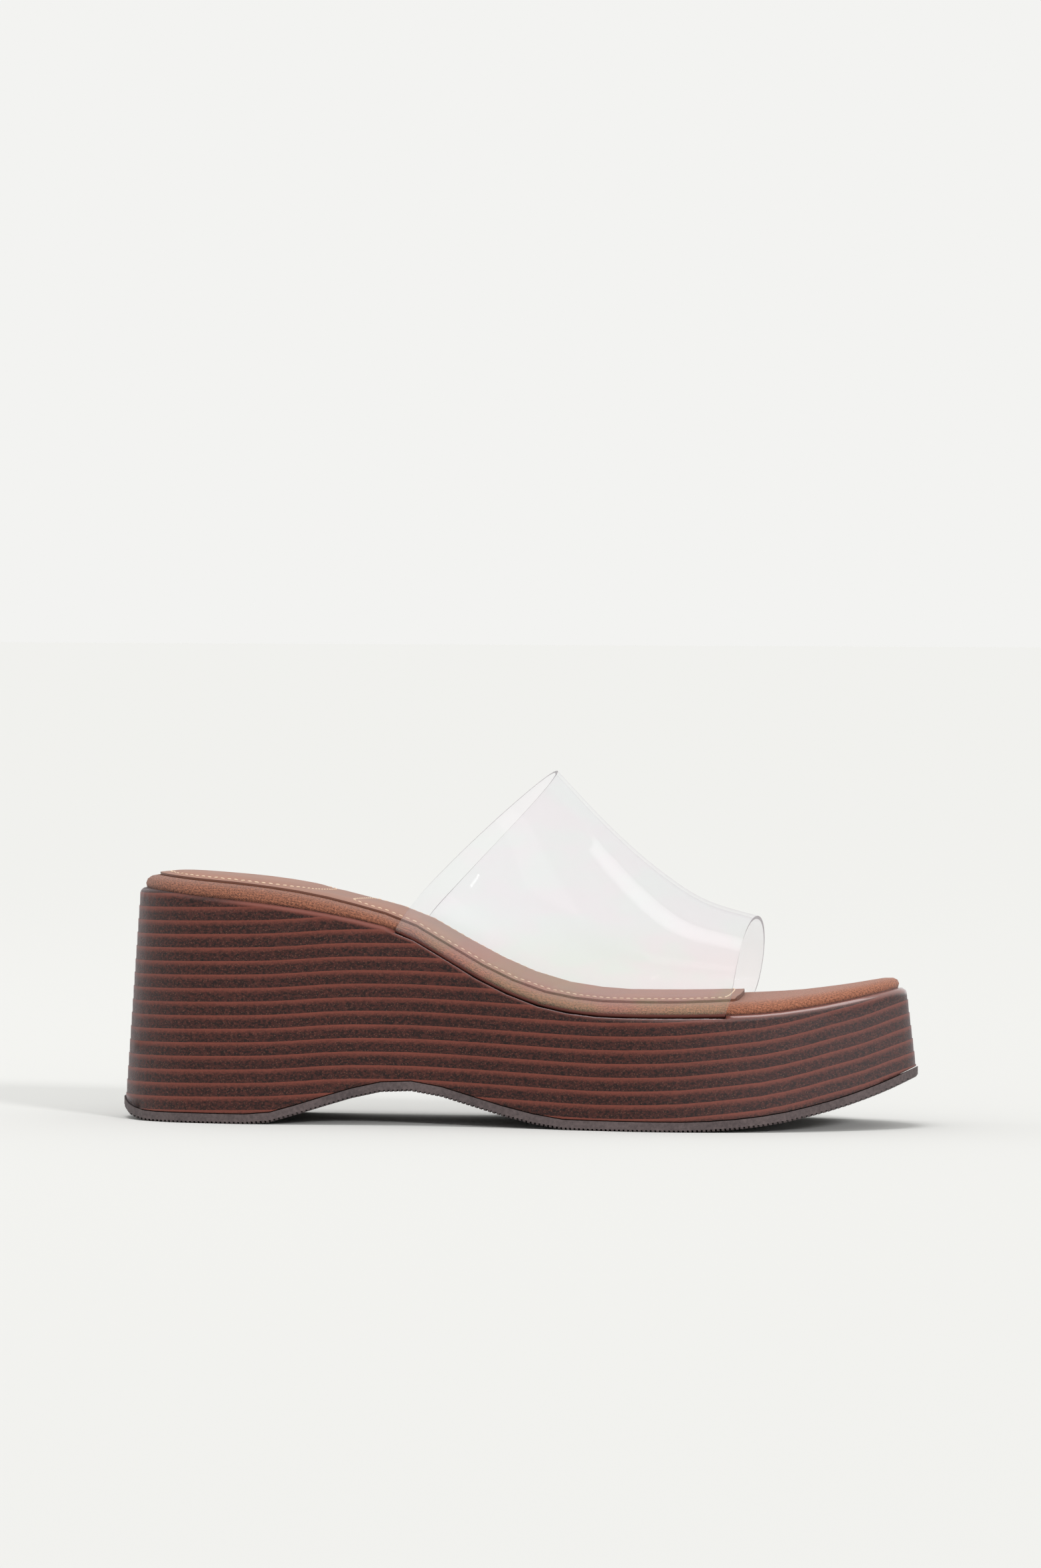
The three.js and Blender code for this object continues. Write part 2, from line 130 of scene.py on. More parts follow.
def colour(red, green, blue):
    # screen colour, 0 to 255, as the linear colour that a shader wants
    def linear(part):
        part /= 255
        return part / 12.92 if part <= 0.04045 else ((part + 0.055) / 1.055) ** 2.4
    return (linear(red), linear(green), linear(blue), 1)


def monotone(points):
    # smooth curve through the points with no overshoot between them
    xs = [point[0] for point in points]
    ys = [point[1] for point in points]
    slopes = [(ys[i + 1] - ys[i]) / (xs[i + 1] - xs[i]) for i in range(len(xs) - 1)]
    tangents = [slopes[0]]
    for before, after in zip(slopes, slopes[1:]):
        flat = before * after <= 0
        tangents.append(0 if flat else 2 * before * after / (before + after))
    tangents.append(slopes[-1])

    def valueAt(x):
        i = 0
        while i < len(slopes) - 1 and x > xs[i + 1]:
            i += 1
        width = xs[i + 1] - xs[i]
        t = (x - xs[i]) / width
        rise = ys[i] * (1 + 2 * t) * (1 - t) ** 2 + ys[i + 1] * t * t * (3 - 2 * t)
        return rise + width * t * (1 - t) * (tangents[i] * (1 - t) - tangents[i + 1] * t)
    return valueAt


def facesAt(mesh):
    # the faces on each edge of a mesh
    sides = {}
    for face in mesh.polygons:
        for key in face.edge_keys:
            sides.setdefault(key, []).append(face)
    return sides


def treeOf(obj):
    mesh = obj.data
    corners = [vertex.co.copy() for vertex in mesh.vertices]
    return BVHTree.FromPolygons(corners, [list(face.vertices) for face in mesh.polygons])


def topOf(tree, x, y):
    # highest place of a piece over (x, y) and the way its surface faces there
    place, normal, _, _ = tree.ray_cast(Vector((x, y, skyHeight)), Vector((0, 0, -1)))
    return place, normal


# Shader maths

class Maths:
    def __init__(self, shader, socket):
        self.shader = shader
        self.socket = socket

    def join(self, operation, *values):
        settings = {"operation": operation}
        return self.shader.node("ShaderNodeMath", settings, dict(enumerate(values)))

    def __add__(self, other):
        return self.join("ADD", self, other)

    def __radd__(self, other):
        return self.join("ADD", other, self)

    def __sub__(self, other):
        return self.join("SUBTRACT", self, other)

    def __rsub__(self, other):
        return self.join("SUBTRACT", other, self)

    def __mul__(self, other):
        return self.join("MULTIPLY", self, other)

    def __pow__(self, other):
        return self.join("POWER", self, other)

    def wave(self):
        return self.join("SINE", self)

    def fraction(self):
        return self.join("FRACT", self)

    def size(self):
        return self.join("ABSOLUTE", self)

    def orMore(self, other):
        return self.join("MAXIMUM", self, other)


class Shader:
    def __init__(self, name, **fixed):
        self.material = bpy.data.materials.new(name)
        self.material.use_nodes = True
        self.tree = self.material.node_tree
        self.surface = self.tree.nodes["Principled BSDF"]
        for socket, value in fixed.items():
            self.surface.inputs[socket.replace("_", " ")].default_value = value

    def feed(self, socket, value):
        if isinstance(value, Maths):
            self.tree.links.new(value.socket, socket)
        else:
            socket.default_value = value

    def node(self, kind, settings=None, values=None, output=0):
        made = self.tree.nodes.new(kind)
        for name, value in (settings or {}).items():
            setattr(made, name, value)
        for name, value in (values or {}).items():
            self.feed(made.inputs[name], value)
        return Maths(self, made.outputs[output])

    def place(self):
        return self.node("ShaderNodeTexCoord", output="Object")

    def parts(self, vector):
        whole = self.node("ShaderNodeSeparateXYZ", values={0: vector})
        split = whole.socket.node
        return [Maths(self, split.outputs[i]) for i in range(3)]

    def attribute(self, name):
        return self.node("ShaderNodeAttribute", {"attribute_name": name}, output="Fac")

    def step(self, value, low, high, reach=(0, 1)):
        # eases from the reach's first value at low to its second at high
        ends = {"From Min": low, "From Max": high, "To Min": reach[0], "To Max": reach[1]}
        kind = {"interpolation_type": "SMOOTHSTEP"}
        return self.node("ShaderNodeMapRange", kind, {"Value": value, **ends})

    def noise(self, vector, scale, detail=2, rough=0.5):
        sizes = {"Scale": scale, "Detail": detail, "Roughness": rough}
        return self.node("ShaderNodeTexNoise", values={"Vector": vector, **sizes})

    def cells(self, vector, scale):
        return self.node("ShaderNodeTexVoronoi", values={"Vector": vector, "Scale": scale})

    def stretch(self, vector, scale):
        settings = {"vector_type": "POINT"}
        return self.node("ShaderNodeMapping", settings, {"Vector": vector, "Scale": scale})

    def mix(self, amount, first, second):
        # two colours, which a Mix node takes in its sockets 6 and 7
        settings = {"data_type": "RGBA"}
        return self.node("ShaderNodeMix", settings, {0: amount, 6: first, 7: second}, 2)

    def veil(self, amount, first, second):
        # one whole look laid over another
        return self.node("ShaderNodeMixShader", values={0: amount, 1: first, 2: second})

    def look(self):
        # the Principled surface, for laying another look over it
        return Maths(self, self.surface.outputs[0])

    def seeThrough(self, tint):
        return self.node("ShaderNodeBsdfTransparent", values={"Color": tint})

    def show(self, look):
        self.tree.links.new(look.socket, self.tree.nodes["Material Output"].inputs[0])

    def bump(self, height, strength, distance):
        sizes = {"Strength": strength, "Distance": distance}
        bumped = self.node("ShaderNodeBump", values={"Height": height, **sizes})
        self.feed(self.surface.inputs["Normal"], bumped)

    def use(self, **values):
        for name, value in values.items():
            self.feed(self.surface.inputs[name.replace("_", " ")], value)


# Camera, floor and light

view = {
    "distance": 2.5,
    "azimuth": 8.5,  # degrees, from the outer side towards the toe
    "pitch": 1.14,
    "roll": 0.28,
    "pixelsPerMm": 4.815,  # at the origin's distance
    "originPixel": (783.0, 1688.7),  # where the picture shows the origin
    "imageSize": (1568, 2361),
    "filmHeight": 24,
}


def makeCamera():
    azimuth = math.radians(view["azimuth"])
    pitch = math.radians(view["pitch"])
    roll = math.radians(view["roll"])
    back = Vector((
        math.sin(azimuth) * math.cos(pitch),
        -math.cos(azimuth) * math.cos(pitch),
        math.sin(pitch),
    ))
    right = Vector((math.cos(azimuth), math.sin(azimuth), 0))
    up = back.cross(right)
    perMetre = view["pixelsPerMm"] / mm
    aside = (view["originPixel"][0] - view["imageSize"][0] / 2) / perMetre
    below = (view["originPixel"][1] - view["imageSize"][1] / 2) / perMetre
    place = back * view["distance"] - right * aside + up * below
    turned = right * math.cos(roll) + up * math.sin(roll)
    upright = up * math.cos(roll) - right * math.sin(roll)
    lens = bpy.data.cameras.new("camera")
    lens.sensor_fit = "VERTICAL"
    lens.sensor_height = view["filmHeight"]
    focal = perMetre * view["distance"] / view["imageSize"][1]
    lens.lens = focal * view["filmHeight"]
    lens.clip_end = 100
    camera = bpy.data.objects.new("camera", lens)
    bpy.context.collection.objects.link(camera)
    turn = Matrix((turned, upright, back)).transposed()
    camera.matrix_world = Matrix.Translation(place) @ turn.to_4x4()
    bpy.context.scene.camera = camera


makeCamera()

studio = {
    "floorRadius": 60,
    "backdrop": colour(243, 243, 241),
    "floorShare": 0.675,  # of the backdrop's light that the floor gives back
    "suns": [
        # name, where it stands, spread in degrees, strength
        ("frontSun", (0.8, -1.0, 0.5), 9, 1.7),
        ("topSun", (-0.1, -0.15, 1.0), 25, 1.15),
    ],
    "strips": [
        # name, place, aim, turn in degrees, width, depth, power, lights matt things too
        ("heelStrip", (-1.6, 0.35, 0.5), (-0.1, 0, 0.05), 0, 0.3, 1.2, 3.0, True),
        ("sheetStrip", (-0.212, -1.77, 0.42), (-0.01, -0.03, 0.077), 51, 0.24, 0.014, 0.15, False),
        ("softStrip", (0.25, -1.05, 1.0), (0.06, -0.04, 0.034), 0, 0.9, 0.4, 1.1, False),
        ("skyStrip", (0.1, 0.35, 1.2), (0.06, -0.04, 0.034), 0, 1.2, 0.5, 6.5, False),
    ],
}


def aimLamp(light, place, aim, turn=0):
    lamp = bpy.data.objects.new(light.name, light)
    bpy.context.collection.objects.link(lamp)
    facing = (Vector(aim) - Vector(place)).to_track_quat("-Z", "Y").to_matrix().to_4x4()
    spin = Matrix.Rotation(math.radians(turn), 4, "Z")
    lamp.matrix_world = Matrix.Translation(place) @ facing @ spin
    return lamp


def makeStudio():
    bpy.ops.mesh.primitive_circle_add(
        vertices=64, radius=studio["floorRadius"], fill_type="NGON")
    floor = bpy.context.object
    floor.name = "floor"
    paint = Shader("pale floor", Roughness=1.0)
    shade = [part * studio["floorShare"] for part in studio["backdrop"][:3]]
    paint.use(Base_Color=(*shade, 1), Specular_IOR_Level=0.0)
    floor.data.materials.append(paint.material)
    for name, place, spread, strength in studio["suns"]:
        light = bpy.data.lights.new(name, "SUN")
        light.angle = math.radians(spread)
        light.energy = strength
        aimLamp(light, place, (0, 0, 0)).visible_glossy = False
    for name, place, aim, turn, width, depth, power, lights in studio["strips"]:
        light = bpy.data.lights.new(name, "AREA")
        light.shape = "RECTANGLE"
        light.size = width
        light.size_y = depth
        light.energy = power
        lamp = aimLamp(light, place, aim, turn)
        lamp.visible_camera = False
        lamp.visible_diffuse = lights
    world = bpy.data.worlds.new("studio")
    bpy.context.scene.world = world
    world.use_nodes = True
    sky = world.node_tree.nodes["Background"]
    sky.inputs["Color"].default_value = studio["backdrop"]
    bpy.context.scene.view_settings.view_transform = "Standard"


makeStudio()
print("stage: camera and studio")


# Outsole: ribbed rubber

tread = {
    "pitch": 1.42 * mm,
    "gap": 0.62 * mm,
    "depth": 0.65 * mm,
    "cutterWidth": 120 * mm,
    "cutterBase": -3 * mm,  # the cutters start under the ground
    "lookFrom": -50 * mm,  # rays that look for the underside start here
    "rearMargin": 0.8 * mm,  # from the sole's end to the first groove
    "toeMargin": 0.4 * mm,
    "rubber": colour(92, 80, 80),
    "rubberDark": colour(62, 53, 54),
}


def rubberFinish():
    paint = Shader("taupe rubber", Roughness=0.72)
    place = paint.place()
    mottle = paint.noise(place, 900, 5, 0.7)
    cloudy = paint.noise(place, 60, 2)
    mask = paint.step(mottle * 0.7 + cloudy * 0.3, 0.3, 0.7)
    paint.use(Base_Color=paint.mix(mask, tread["rubberDark"], tread["rubber"]))
    paint.bump(mottle, 0.35, 0.2 * mm)
    return paint.material


def makeTread():
    sole = mergedCopy("outsole", "outsole_tread")
    under = treeOf(sole)
    cutters = []
    start = tread["rearMargin"] - soleLength / 2
    end = soleLength / 2 - tread["toeMargin"]
    for i in range(int((end - start) / tread["pitch"])):
        x = start + i * tread["pitch"]
        spot = under.ray_cast(Vector((x, 0, tread["lookFrom"])), Vector((0, 0, 1)))[0]
        if spot is None:
            continue
        top = spot.z + tread["depth"]
        base = tread["cutterBase"]
        bpy.ops.mesh.primitive_cube_add(
            size=1,
            location=(x, 0, (top + base) / 2),
            scale=(tread["gap"], tread["cutterWidth"], top - base),
        )
        cutters.append(bpy.context.object)
    cutter = joinPieces(cutters, "groove_cutter")
    settle(cutter)
    cut = sole.modifiers.new("grooves", "BOOLEAN")
    cut.operation = "DIFFERENCE"
    cut.solver = "EXACT"
    cut.object = cutter
    applyModifiers(sole)
    bpy.data.objects.remove(cutter)
    smooth(sole, 20)
    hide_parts("outsole")
    finishPiece(sole, rubberFinish())


makeTread()
print("stage: outsole")


# Wedge: stacked lifts

stack = {
    "pitch": 4.2 * mm,  # one lift
    "firstLine": 4.1 * mm,  # height of the lowest line at the heel
    "hump": 2 * mm,  # rise of the lines over the arch
    "lift": 15.5 * mm,  # rise of the lines to the toe
    "humpShares": [  # share of the sole's length, share of the rise
        (-0.02, -0.3), (0.1, -0.05), (0.2, 0.2), (0.31, 0.98), (0.36, 1), (0.45, 0.65),
        (0.537, 0.2), (0.63, -0.15), (0.7, 0), (1.02, 0),
    ],
    "liftShares": [
        (-0.02, 0), (0.7, 0), (0.747, 0.055), (0.787, 0.12), (0.826, 0.194),
        (0.865, 0.323), (0.903, 0.49), (0.94, 0.65), (0.977, 0.87), (1.02, 1.1),
    ],
    "edge": colour(104, 54, 44),
    "middle": colour(64, 33, 28),
    "grain": colour(24, 13, 12),
    "fleck": colour(96, 66, 54),
    # tint of the sheen, and of the painted light laid over the lifts at the toe
    "haze": colour(226, 216, 220),
    "liftsBelow": 4,  # keeps the count of lifts above nought all over
    "topMargin": 6 * mm,  # the top is looked up no nearer than this to the ends
    "rimStart": -98 * mm,  # the red strip under the footbed comes in from here
    "rimFull": -78 * mm,
    "glossStart": 20 * mm,  # its gloss from here
    "glossFull": 50 * mm,
    "toeStart": 30 * mm,  # and the toe's painted light from here, a pale wash standing in for sheen from light on the right
    "toeFull": 110 * mm,
    "toePaintedLight": 0.025,
}


def stackFinish():
    paint = Shader(
        "stacked lifts", Specular_IOR_Level=0.22, Sheen_Weight=0.6, Sheen_Roughness=0.25,
        Sheen_Tint=stack["haze"], Coat_Roughness=0.12)
    place = paint.place()
    share = paint.attribute("liftShare").fraction()
    grain = paint.noise(paint.stretch(place, (0.8, 0.8, 1.2)), 1250, 4, 0.75)
    speckle = paint.cells(place, 1250)
    cloud = paint.noise(place, 35, 3)
    dark = paint.mix(paint.step(grain, 0.38, 0.64), stack["grain"], stack["middle"])
    flecked = paint.mix(paint.step(speckle, 0.32, 0.08) * 0.6, dark, stack["fleck"])
    fade = paint.step(share + (grain - 0.5) * 0.25 + (cloud - 0.5) * 0.2, 0.5, 1.08)
    along = paint.parts(place)[0]
    onward = paint.step(along, stack["rimStart"], stack["rimFull"])
    drop = paint.attribute("drop")
    rim = (1 - paint.step(drop, 0.6, 1.9)) * onward
    forward = paint.step(along, stack["glossStart"], stack["glossFull"])
    # painted light: the lifts are washed paler towards the toe, standing in for sheen from light
    # on the right
    paintedToeLight = paint.step(along, stack["toeStart"], stack["toeFull"], (0, stack["toePaintedLight"]))
    fade = fade.orMore(rim)
    lifts = paint.mix(fade, flecked, stack["edge"])
    paint.use(Base_Color=paint.mix(paintedToeLight, lifts, stack["haze"]))
    paint.use(Roughness=0.4 + grain * 0.25)
    paint.use(Coat_Weight=(1 - paint.step(drop, 1.2, 2.4)) * forward)
    paint.bump(grain * (1 - fade * 0.7), 0.5, 0.25 * mm)
    return paint.material


def makeStack():
    wedge = mergedCopy("wedge", "wedge_stack")
    humpAt = monotone(stack["humpShares"])
    liftAt = monotone(stack["liftShares"])
    shares = wedge.data.attributes.new("liftShare", "FLOAT", "POINT")
    drops = wedge.data.attributes.new("drop", "FLOAT", "POINT")
    tops = treeOf(wedge)
    reach = soleLength / 2 - stack["topMargin"]
    for vertex in wedge.data.vertices:
        top = topOf(tops, max(min(vertex.co.x, reach), -reach), 0)[0]
        drops.data[vertex.index].value = (top.z - vertex.co.z) / mm
        along = vertex.co.x / soleLength + 0.5
        line = stack["firstLine"] + humpAt(along) * stack["hump"] + liftAt(along) * stack["lift"]
        count = (vertex.co.z - line) / stack["pitch"]
        shares.data[vertex.index].value = count + stack["liftsBelow"]
    smooth(wedge, 35)
    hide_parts("wedge")
    finishPiece(wedge, stackFinish())


makeStack()
print("stage: wedge")


# Footbed: woven wrap

weave = {
    "thread": 0.85 * mm,
    "edgeReach": 3 * mm,  # the top is looked up this far in from the edge
    "light": colour(178, 114, 85),
    "dark": colour(66, 36, 28),
}


def weaveFinish():
    paint = Shader("woven wrap", Roughness=0.82, Sheen_Weight=0.15)
    cloth = paint.node("ShaderNodeUVMap", {"uv_map": "cloth"})
    u, v, _ = paint.parts(cloth)
    turns = 2 * math.pi / (weave["thread"] / mm)
    zigzag = ((v * 0.16).fraction() - 0.5).size() * 12
    twill = ((u + zigzag) * turns).wave()
    weft = (v * turns * 0.9).wave()
    threads = paint.step(twill * 0.65 + weft * 0.35, -0.8, 0.9)
    slub = paint.step(paint.noise(cloth, 1.5, 4, 0.75), 0.36, 0.64)
    along = paint.parts(paint.place())[0]
    # painted light and shade: the wrap's colour runs darker towards the heel and lighter towards
    # the toe, standing in for light falling from the toe's side
    shade = paint.step(along, -soleLength / 2, soleLength / 2, (-0.1, 0.08))
    tone = threads * 0.4 + slub * 0.55 + shade
    paint.use(Base_Color=paint.mix(tone, weave["dark"], weave["light"]))
    paint.bump(tone, 0.6, 0.2 * mm)
    return paint.material


def makeWrap():
    wrap = mergedCopy("footbed", "footbed_wrap")
    restOnBelow(wrap)
    mesh = wrap.data
    tops = treeOf(wrap)
    cloth = mesh.uv_layers.new(name="cloth")
    for face in mesh.polygons:
        flat = Vector((face.normal.x, face.normal.y, 0))
        outward = flat.normalized() if flat.length > 0.3 else Vector()
        for loop in face.loop_indices:
            point = mesh.vertices[mesh.loops[loop].vertex_index].co
            inward = point - outward * weave["edgeReach"]
            top = topOf(tops, inward.x, inward.y)[0] if flat.length > 0.3 else None
            drop = max(top.z - point.z, 0) if top else 0
            spread = point + outward * drop
            cloth.data[loop].uv = (spread.x / mm, spread.y / mm)
    smooth(wrap, 50)
    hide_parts("footbed")
    finishPiece(wrap, weaveFinish())


makeWrap()
print("stage: footbed")


# Sock: leather with two sewn rows

leather = {
    "brown": colour(142, 96, 76),
    "brownDark": colour(130, 87, 69),
    # the sock's cut edge: partly edge paint, partly painted shade of the gap under the lifted edge
    "edge": colour(98, 60, 46),
    "seam": colour(208, 184, 160),
    "rowInset": 3 * mm,
    "ringPitch": 2 * mm,
    "stitchPitch": 2.2 * mm,
    "stitchLength": 1.55 * mm,
    "stitchWidth": 0.48 * mm,
    "heelRowFront": [  # x in mm and share across, where the heel's row crosses
        (-77, -0.95), (-68.5, -0.88), (-64.3, -0.6), (-62, -0.15), (-60.5, 0.3),
        (-59.8, 0.62), (-60.5, 0.88), (-68, 0.97),
    ],
    "foreRowRear": [(-46, -0.97), (-50.2, -0.9), (-50.6, -0.6), (-49.6, 0.1), (-48.6, 0.6),
                    (-47.8, 0.9), (-44, 0.97)],
    "rowPitch": 1.5 * mm,
    "roundings": 3,
    "crossingGap": 1 * mm,
    "padRise": 0.9 * mm,
    "padShares": (1, 0.45),  # of that rise, for heel and forefoot
    "padReach": 9 * mm,
    "topCuts": 8,
    "paintThick": 0.16 * mm,
}


def leatherFinish():
    paint = Shader("brown leather", Roughness=0.5)
    place = paint.place()
    grain = paint.cells(place, 1100)
    cloud = paint.noise(place, 45, 4)
    mask = paint.step(cloud, 0.3, 0.7)
    paint.use(Base_Color=paint.mix(mask, leather["brownDark"], leather["brown"]))
    paint.use(Roughness=0.42 + cloud * 0.15)
    paint.bump(grain, 0.25, 0.12 * mm)
    return paint.material


def plainFinish(name, shade, rough):
    paint = Shader(name, Roughness=rough)
    paint.use(Base_Color=shade)
    return paint.material


def rimOf(sock):
    # the sock's top edge as a ring of points, in order
    mesh = sock.data
    links = {}
    for (a, b), faces in facesAt(mesh).items():
        slopes = [face.normal.z for face in faces]
        if max(slopes) > 0.75 and abs(min(slopes, key=abs)) < 0.4:
            links.setdefault(a, []).append(b)
            links.setdefault(b, []).append(a)
    ring = [min(links, key=lambda i: mesh.vertices[i].co.x)]
    ahead = links[ring[0]]
    while ahead:
        ring.append(ahead[0])
        ahead = [i for i in links[ring[-1]] if i not in ring]
    return [mesh.vertices[i].co.copy() for i in ring]


def spaced(points, pitch):
    # the points of a closed row again, evenly spaced along it
    line = points + points[:1]
    total = sum((b - a).length for a, b in zip(line, line[1:]))
    count = max(round(total / pitch), 2)
    gap = total / count
    row = []
    walked = 0
    wanted = 0
    for a, b in zip(line, line[1:]):
        length = (b - a).length
        while len(row) < count and wanted <= walked + length:
            row.append(a.lerp(b, (wanted - walked) / length))
            wanted += gap
        walked += length
    return row


def insetRing(ring, depth):
    # a ring moved inwards, evenly
    flat = [Vector((point.x, point.y, 0)) for point in spaced(ring, leather["ringPitch"])]
    area = sum(a.x * b.y - b.x * a.y for a, b in zip(flat, flat[1:] + flat[:1]))
    side = 1 if area > 0 else -1
    count = len(flat)
    moved = []
    for i, point in enumerate(flat):
        ahead = flat[(i + 2) % count] - flat[(i - 2) % count]
        inward = Vector((-ahead.y, ahead.x, 0)).normalized() * side
        moved.append(point + inward * depth)
    return moved


def sewnRows(ring):
    # the heel's and the forefoot's rows, which follow a ring set in from the rim
    outer = sorted((p for p in ring if p.y < 0), key=lambda p: p.x)
    inner = sorted((p for p in ring if p.y >= 0), key=lambda p: p.x)
    outerAt = monotone([(p.x, p.y) for p in outer[::3]])
    innerAt = monotone([(p.x, p.y) for p in inner[::3]])

    def crossing(shares):
        # shares run from -1 at the outer row to 1 at the inner row
        made = []
        for xInMm, share in shares:
            x = xInMm * mm
            low, high = outerAt(x), innerAt(x)
            made.append(Vector((x, low + (high - low) * (share + 1) / 2, 0)))
        return made

    def closedBy(shares, way):
        # the part of the ring behind (way -1) or ahead (way 1) of the crossing, closed by it
        line = crossing(shares)
        start = max(range(len(ring)), key=lambda i: -way * ring[i].x)
        ordered = ring[start:] + ring[:start]
        run = [p for p in ordered
               if (p.x - line[0 if p.y < 0 else -1].x) * way > leather["crossingGap"]]
        return run + (line if run[-1].y < 0 else line[::-1])

    return [roundedRow(closedBy(leather["heelRowFront"], -1)),
            roundedRow(closedBy(leather["foreRowRear"], 1))]


def roundedRow(points):
    row = spaced(points, leather["rowPitch"])
    for _ in range(leather["roundings"]):
        count = len(row)
        row = [(row[i - 1] + row[i] * 2 + row[(i + 1) % count]) / 4 for i in range(count)]
    return row


def insideRow(row, x, y):
    inside = False
    for a, b in zip(row, row[1:] + row[:1]):
        if (a.y > y) != (b.y > y) and x < a.x + (b.x - a.x) * (y - a.y) / (b.y - a.y):
            inside = not inside
    return inside


def refineTop(sock):
    # gives the top enough points to swell between the rows
    activate(sock)
    bpy.ops.object.mode_set(mode="EDIT")
    bpy.ops.mesh.select_all(action="DESELECT")
    bpy.ops.object.mode_set(mode="OBJECT")
    for face in sock.data.polygons:
        face.select = face.normal.z > 0.7
    bpy.ops.object.mode_set(mode="EDIT")
    bpy.ops.mesh.subdivide(number_cuts=leather["topCuts"])
    bpy.ops.object.mode_set(mode="OBJECT")


def puffUp(sock, rows):
    # the leather swells softly between its sewn rows
    upward = [vertex for vertex in sock.data.vertices if vertex.normal.z > 0.5]
    for vertex in upward:
        spot = Vector((vertex.co.x, vertex.co.y, 0))
        nearest = min((spot - point).length for row in rows for point in row)
        reach = min(nearest / leather["padReach"], 1)
        for share, row in zip(leather["padShares"], rows):
            if insideRow(row, spot.x, spot.y):
                vertex.co.z += leather["padRise"] * share * reach * (2 - reach)


def makeSock():
    sock = mergedCopy("sock", "sock_leather")
    restOnBelow(sock)
    rows = sewnRows(insetRing(rimOf(sock), leather["rowInset"]))
    refineTop(sock)
    puffUp(sock, rows)
    smooth(sock, 60)
    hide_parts("sock")
    finishPiece(sock, leatherFinish())
    makeStitches(sock, rows)


def makeStitches(sock, rows):
    surface = treeOf(sock)
    bpy.ops.mesh.primitive_uv_sphere_add(segments=8, ring_count=5, radius=0.5)
    pattern = bpy.context.object
    stitches = []
    for row in rows:
        spots = spaced(row, leather["stitchPitch"])
        count = len(spots)
        for i, spot in enumerate(spots):
            place, normal = topOf(surface, spot.x, spot.y)
            ahead = spots[(i + 1) % count] - spots[i - 1]
            lengthwise = (ahead - normal * ahead.dot(normal)).normalized()
            across = normal.cross(lengthwise)
            turn = Matrix((lengthwise, across, normal)).transposed().to_4x4()
            size = Matrix.Diagonal((
                leather["stitchLength"], leather["stitchWidth"], leather["stitchWidth"], 1))
            stitch = bpy.data.objects.new("stitch", pattern.data.copy())
            bpy.context.collection.objects.link(stitch)
            stitch.data.transform(Matrix.Translation(place) @ turn @ size)
            stitches.append(stitch)
    bpy.data.objects.remove(pattern)
    seam = joinPieces(stitches, "sock_stitches")
    smooth(seam, 80)
    finishPiece(seam, plainFinish("beige thread", leather["seam"], 0.7))


def makeSockEdge():
    # dark cut edge, standing a hair proud of the leather's rim; its colour is partly the leather's
    # edge paint and partly painted shade of the gap under the lifted edge
    edge = mergedCopy("sock", "sock_edge")
    activate(edge)
    bpy.ops.object.mode_set(mode="EDIT")
    bpy.ops.mesh.select_mode(type="FACE")
    bpy.ops.object.mode_set(mode="OBJECT")
    for face in edge.data.polygons:
        face.select = abs(face.normal.z) > 0.4
    bpy.ops.object.mode_set(mode="EDIT")
    bpy.ops.mesh.delete(type="FACE")
    bpy.ops.object.mode_set(mode="OBJECT")
    wall = edge.modifiers.new("paint", "SOLIDIFY")
    wall.thickness = leather["paintThick"]
    wall.offset = 0.5
    applyModifiers(edge)
    smooth(edge, 40)
    finishPiece(edge, plainFinish("edge paint and painted shade", leather["edge"], 0.5))


makeSock()
makeSockEdge()
print("stage: sock")


# Band: clear sheet

vinyl = {
    "clear": (0.984, 0.986, 0.993, 1),  # tint of what shows through
    "rim": (0.93, 0.92, 0.935, 1),  # and where the sheet is seen edge on
    "gloss": (1, 1, 1, 1),
    "haze": 0.05,  # share of the milky film
    "pink": colour(240, 220, 228),
    "green": colour(226, 234, 228),
    "footPink": colour(240, 190, 188),
    "footGreen": colour(206, 220, 182),
    "footHigh": 66 * mm,
    "footLow": 48 * mm,
    "mirror": 0.009,
    "edgeMirror": 0.06,  # added to it at the rim
    "rimFrom": 0.8,
    "glossRough": 0.04,
    "cutClear": (0.62, 0.6, 0.63, 1),
    "cutGrey": colour(124, 114, 122),
    "cutShare": 0.75,
    "glue": colour(96, 50, 42),
    "glueTop": 0.35 * mm,  # over the wedge's top, where the glued margin ends
    "levels": 2,
    "cutPlace": 1,  # in the band's list of materials, after the clear sheet
    "gluePlace": 2,
}


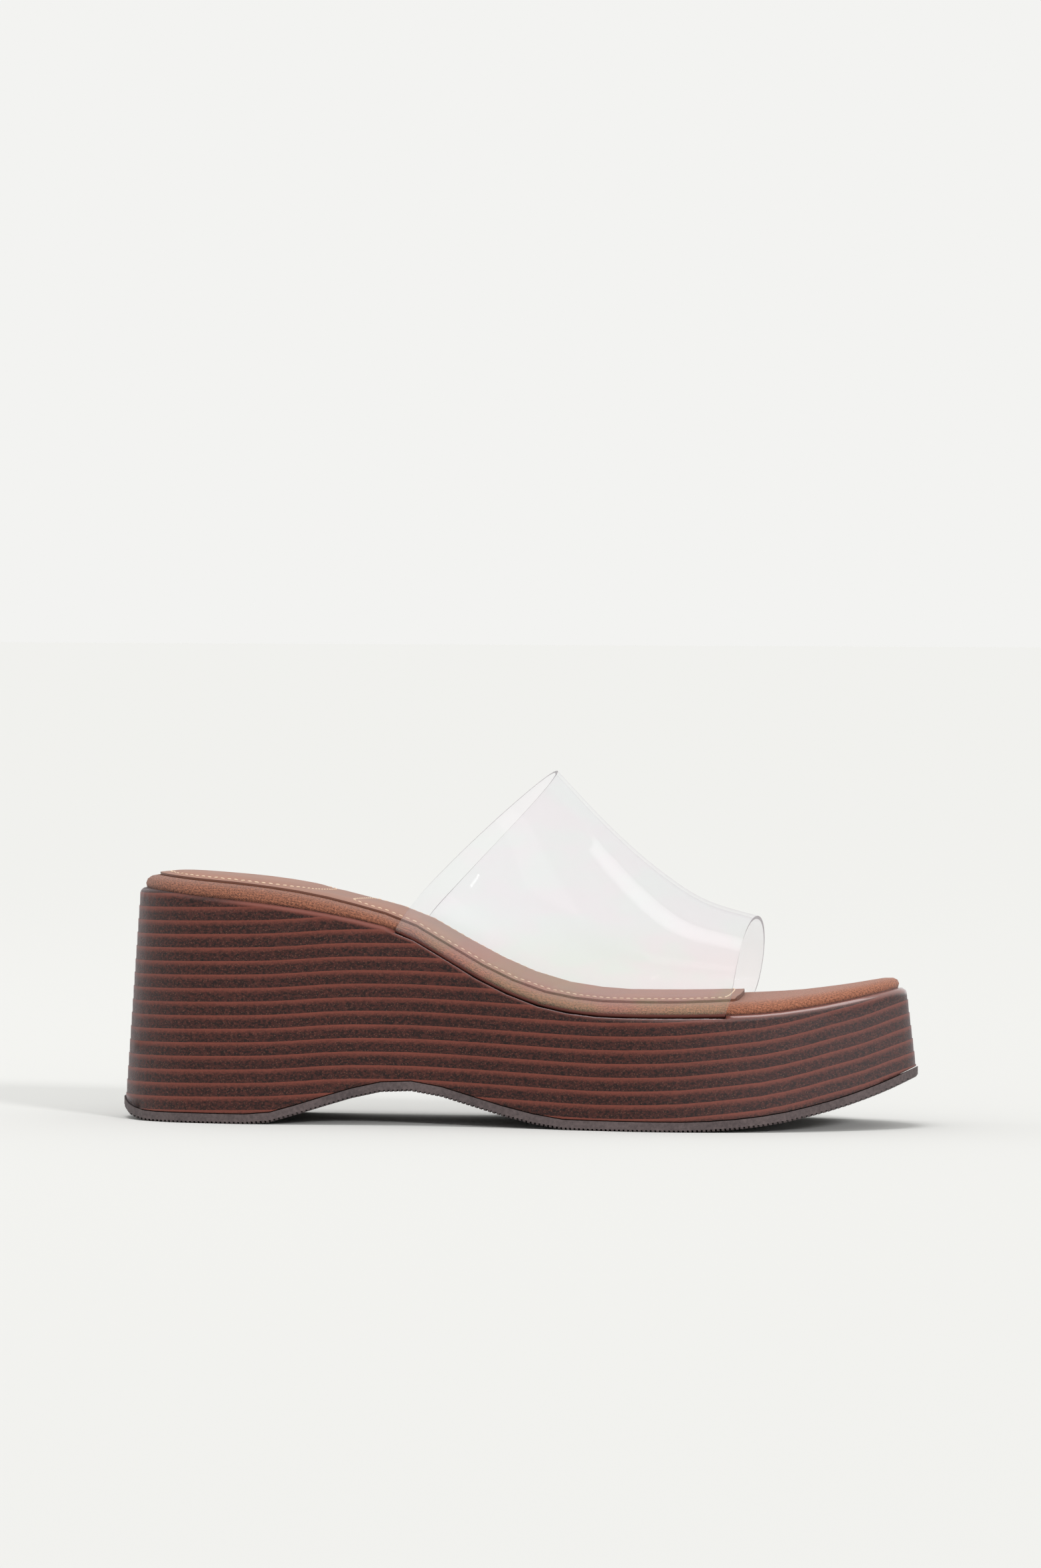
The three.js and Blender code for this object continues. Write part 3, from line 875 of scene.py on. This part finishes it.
def vinylFinish():
    paint = Shader("clear sheet", Roughness=0.2)
    place = paint.place()
    blotch = paint.step(paint.noise(paint.stretch(place, (1, 1, 2.2)), 40, 2), 0.42, 0.58)
    pale = paint.mix(blotch, vinyl["pink"], vinyl["green"])
    deep = paint.mix(blotch, vinyl["footPink"], vinyl["footGreen"])
    footward = paint.step(paint.parts(place)[2], vinyl["footHigh"], vinyl["footLow"])
    paint.use(Base_Color=paint.mix(footward, pale, deep))
    facing = paint.node("ShaderNodeLayerWeight", values={"Blend": 0.5}, output="Facing")
    seen = paint.veil(
        paint.step(facing, vinyl["rimFrom"], 1.0),
        paint.seeThrough(vinyl["clear"]),
        paint.seeThrough(vinyl["rim"]),
    )
    hazy = paint.veil(vinyl["haze"], seen, paint.look())
    gloss = paint.node("ShaderNodeBsdfGlossy", values={
        "Color": vinyl["gloss"], "Roughness": vinyl["glossRough"]})
    mirror = facing ** 5 * vinyl["edgeMirror"] + vinyl["mirror"]
    paint.show(paint.veil(mirror, hazy, gloss))
    return paint.material


def cutFinish():
    # the sheet's cut edges look grey, as light is lost along the sheet
    paint = Shader("cut sheet edge", Roughness=0.3)
    paint.use(Base_Color=vinyl["cutGrey"])
    solid = paint.look()
    paint.show(paint.veil(vinyl["cutShare"], paint.seeThrough(vinyl["cutClear"]), solid))
    return paint.material


def markCutEdges(band):
    # creases the sheet's four long corners and marks the narrow faces between them
    mesh = band.data
    sharp = {key for key, pair in facesAt(mesh).items()
             if len(pair) == 2 and pair[0].normal.dot(pair[1].normal) < 0.5}
    crease = mesh.attributes.new("crease_edge", "FLOAT", "EDGE")
    for edge in mesh.edges:
        crease.data[edge.index].value = 1.0 if edge.key in sharp else 0.0
    for face in mesh.polygons:
        narrow = sum(key in sharp for key in face.edge_keys) >= 2
        if narrow and abs(face.normal.x) > 0.55:
            face.material_index = vinyl["cutPlace"]


def markGluedMargin(band):
    # marks what lies lower than the wedge's top, between wedge and footbed
    board = treeOf(nodes["wedge"])
    for face in band.data.polygons:
        top = topOf(board, face.center.x, 0)[0]
        if face.center.z < top.z + vinyl["glueTop"]:
            face.material_index = vinyl["gluePlace"]


def makeBand():
    band = mergedCopy("band", "vinyl_band")
    activate(band)
    bpy.ops.object.mode_set(mode="EDIT")
    bpy.ops.mesh.select_all(action="SELECT")
    bpy.ops.mesh.tris_convert_to_quads()
    bpy.ops.object.mode_set(mode="OBJECT")
    markCutEdges(band)
    rounder = band.modifiers.new("rounder", "SUBSURF")
    rounder.levels = vinyl["levels"]
    rounder.render_levels = vinyl["levels"]
    applyModifiers(band)
    smooth(band, 40)
    markGluedMargin(band)
    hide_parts("band")
    finishPiece(band, vinylFinish())
    band.data.materials.append(cutFinish())
    band.data.materials.append(plainFinish("glued margin", vinyl["glue"], 0.55))


makeBand()
print("stage: band")
